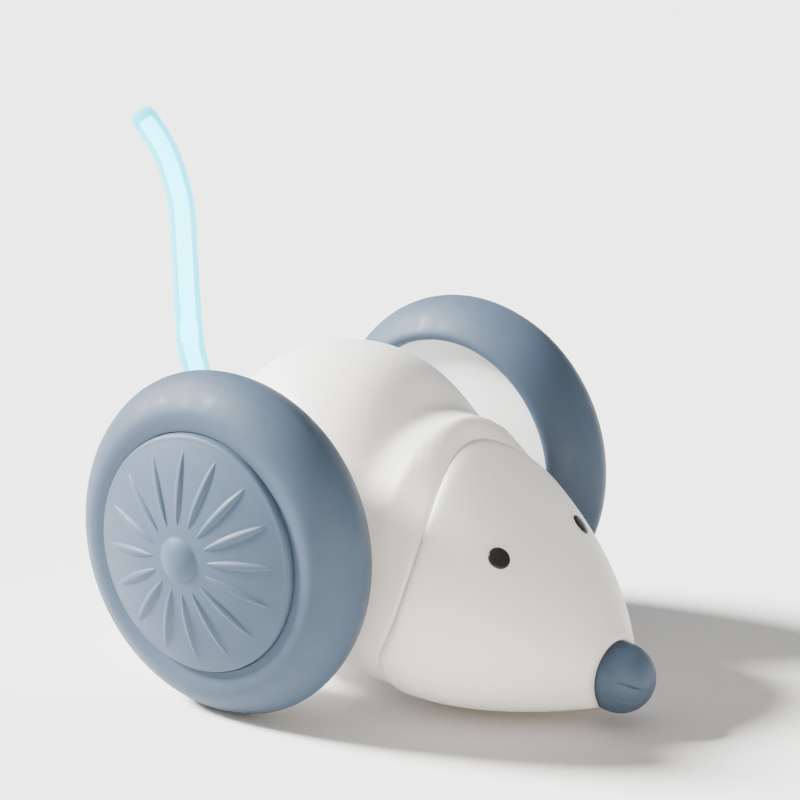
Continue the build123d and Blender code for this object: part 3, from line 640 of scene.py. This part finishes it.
SHELL = finish("shell_white", (0.86, 0.85, 0.835), (0.835, 0.82, 0.80), (0.36, 0.46), bump=0.03,
               Subsurface_Weight=0.12, Subsurface_Scale=0.004, Specular_IOR_Level=0.42)
HUB = finish("hub_white", (0.87, 0.875, 0.88), (0.84, 0.845, 0.85), (0.34, 0.44), bump=0.03)
SILICONE = finish("tyre_silicone", (0.046, 0.074, 0.116), (0.040, 0.066, 0.105), (0.50, 0.62),
                  bump=0.10, grain=3200, patch=45, Sheen_Weight=0.05, Sheen_Roughness=0.5,
                  Specular_IOR_Level=0.30)
CAP = finish("cap_soft_plastic", (0.054, 0.087, 0.134), (0.048, 0.079, 0.123), (0.46, 0.58), bump=0.08,
             grain=3600, patch=55, Sheen_Weight=0.05, Specular_IOR_Level=0.30)
NOSE_SKIN = finish("nose_silicone", (0.060, 0.096, 0.148), (0.053, 0.086, 0.134), (0.44, 0.56),
                   bump=0.08, grain=3600, patch=90, Specular_IOR_Level=0.35)
EYE = finish("eye_gloss", (0.010, 0.010, 0.010), (0.016, 0.015, 0.015), (0.22, 0.32), bump=0.01,
             Specular_IOR_Level=0.25)
NYLON = finish("glide_nylon", (0.78, 0.78, 0.76), (0.72, 0.72, 0.70), (0.2, 0.3), bump=0.02)
ACETAL = finish("gear_acetal", (0.82, 0.80, 0.74), (0.78, 0.76, 0.70), (0.28, 0.4), bump=0.02)
GREY = finish("gearbox_acetal", (0.09, 0.095, 0.10), (0.075, 0.08, 0.085), (0.4, 0.55), bump=0.05)
BLACK = finish("black_moulding", (0.018, 0.018, 0.019), (0.03, 0.03, 0.03), (0.4, 0.55), bump=0.04)
BOARD = finish("board_mask", (0.012, 0.10, 0.045), (0.016, 0.135, 0.06), (0.25, 0.4), patch=400)
FOIL = finish("cell_foil", (0.60, 0.61, 0.64), (0.52, 0.53, 0.56), (0.3, 0.45), bump=0.15, grain=500,
              Metallic=0.8)
FOAM = finish("foam_tape", (0.03, 0.03, 0.03), (0.05, 0.05, 0.05), (0.85, 0.95), bump=0.4, grain=2600)
RED = finish("lead_red", (0.42, 0.02, 0.015), (0.36, 0.015, 0.012), (0.4, 0.5))
STEEL = metal("steel", (0.60, 0.60, 0.62), (0.22, 0.36), (1, 12, 1))
BRASS = metal("brass", (0.72, 0.52, 0.24), (0.25, 0.38), (1, 12, 1))
BRONZE = metal("bronze", (0.50, 0.33, 0.16), (0.4, 0.55), (1, 1, 1))


def tail_skin_material():
    """Clear-tinted silicone that scatters the light inside it."""
    material = finish("tail_silicone", (0.01, 0.42, 0.52), (0.02, 0.50, 0.60), (0.30, 0.42), bump=0.03,
                      grain=1500, patch=80, Transmission_Weight=0.35, IOR=1.12,
                      Emission_Strength=1.5, Specular_IOR_Level=0.25)
    shader = material.node_tree.nodes["Principled BSDF"]
    shader.inputs["Emission Color"].default_value = (0.0, 0.80, 1.0, 1)
    return material


def lit_core_material():
    """Light inside the tail, brighter and whiter in drifting patches."""
    material, tree, shader = node_material("tail_light")
    mix = tree.nodes.new("ShaderNodeMix")
    mix.data_type = "RGBA"
    mix.inputs["A"].default_value = (0.42, 0.96, 1.0, 1)
    mix.inputs["B"].default_value = (0.80, 1.0, 1.0, 1)
    tree.links.new(spread(tree, noise(tree, 120, 3.0, (1, 1, 0.4)), 0, 1), mix.inputs["Factor"])
    tree.links.new(mix.outputs["Result"], shader.inputs["Emission Color"])
    tree.links.new(mix.outputs["Result"], shader.inputs["Base Color"])
    shader.inputs["Emission Strength"].default_value = 16.0
    shader.inputs["Roughness"].default_value = 0.5
    return material


TAIL_SKIN = tail_skin_material()
TAIL_CORE = lit_core_material()

NODE_FINISHES = {
    "lower_shell": SHELL, "tail_socket": SHELL, "front_glide": NYLON, "power_button": CAP,
    "tail_lamp": TAIL_CORE, "tail_lead_red": RED, "socket_lead_red": RED, "battery_lead_red": RED,
    "motor_leads_red": RED, "tail_lead_black": BLACK, "socket_lead_black": BLACK,
    "battery_lead_black": BLACK, "motor_leads_black": BLACK, "main_board": BOARD, "board_chips": BLACK,
    "board_screws": STEEL, "shell_screws": STEEL, "charge_port": STEEL, "power_switch": BLACK,
    "battery": FOIL, "battery_pad": FOAM,
}
SIDE_FINISHES = {
    "wheel_hub": HUB, "axle": STEEL, "wheel_screw": STEEL, "output_gear": ACETAL,
    "compound_gear": ACETAL, "motor_pinion": BRASS, "motor_shaft": STEEL, "motor_can": STEEL,
    "gear_pin": STEEL, "gearbox_case": GREY, "gearbox_cover": GREY, "axle_bushes": BRONZE,
    "gearbox_screws": STEEL,
}


def dress_frame():
    """Give every CAD node that shows its finish."""
    finishes = dict(NODE_FINISHES)
    for side in SIDES:
        finishes.update({f"{side}_{name}": material for name, material in SIDE_FINISHES.items()})
    for name, material in finishes.items():
        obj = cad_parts[name]
        if not obj.material_slots:
            obj.data.materials.append(material)
        for place in obj.material_slots:
            place.link = "OBJECT"
            place.material = material


# ---------------------------------------------------------------- camera, floor and light

def camera():
    """Camera in front and to the right, looking down at a place above the axle."""
    azimuth, elevation = math.radians(CAMERA_AZIMUTH), math.radians(CAMERA_ELEVATION)
    back = Vector((math.sin(azimuth) * math.cos(elevation), -math.cos(azimuth) * math.cos(elevation),
                   math.sin(elevation)))
    data = bpy.data.cameras.new("camera")
    data.lens = CAMERA_LENS
    data.sensor_width = 36.0
    data.clip_start = 0.01
    obj = bpy.data.objects.new("camera", data)
    obj.location = CAMERA_AIM + back * CAMERA_DISTANCE
    obj.rotation_euler = back.to_track_quat("Z", "Y").to_euler()
    bpy.context.collection.objects.link(obj)
    bpy.context.scene.camera = obj


def floor():
    """Wide pale floor."""
    bm = bmesh.new()
    bmesh.ops.create_grid(bm, x_segments=1, y_segments=1, size=6.0)
    mesh = bpy.data.meshes.new("floor")
    bm.to_mesh(mesh)
    bm.free()
    mesh.materials.append(finish("floor_paper", (0.93, 0.925, 0.915), (0.92, 0.915, 0.905), (0.8, 0.9),
                                 grain=300, patch=4))
    obj = bpy.data.objects.new("floor", mesh)
    obj.location = (0, 0, min(0.0, cad_low[2]))
    bpy.context.collection.objects.link(obj)


def aim(obj, place):
    """Put a light at a place and point it at the toy."""
    obj.location = place
    obj.rotation_euler = (Vector(place) - Vector((0, 0, 0.03))).to_track_quat("Z", "Y").to_euler()
    bpy.context.collection.objects.link(obj)


def sky_light(name, place, spread_angle, strength, colour):
    """Far, broad light that reaches the whole floor evenly."""
    data = bpy.data.lights.new(name, "SUN")
    data.angle = math.radians(spread_angle)
    data.energy = strength
    data.color = colour
    aim(bpy.data.objects.new(name, data), place)


def panel_light(name, place, size, power, colour):
    """Square panel near the toy."""
    data = bpy.data.lights.new(name, "AREA")
    data.shape = "SQUARE"
    data.size = size
    data.energy = power
    data.color = colour
    aim(bpy.data.objects.new(name, data), place)


def lights():
    """Key from the upper left, a low warm fill in front and a pale world."""
    sky_light("key", (-0.74, -0.30, 0.60), 14, 22.0, (1.0, 0.985, 0.965))
    panel_light("warm_fill", (0.42, -0.30, 0.04), 0.25, 1.8, (1.0, 0.74, 0.48))
    world = bpy.data.worlds.new("studio")
    world.use_nodes = True
    background = world.node_tree.nodes["Background"]
    background.inputs["Color"].default_value = (0.97, 0.985, 1.0, 1)
    background.inputs["Strength"].default_value = 0.5
    bpy.context.scene.world = world


# ---------------------------------------------------------------- build

camera()
floor()
lights()
dress_frame()
for wheel_side, wheel_sign in SIDES.items():
    tyre(wheel_side, wheel_sign)
    hub_cap(wheel_side, wheel_sign)
    eye(wheel_side, wheel_sign)
upper_shell()
head_shell()
nose()
tail()
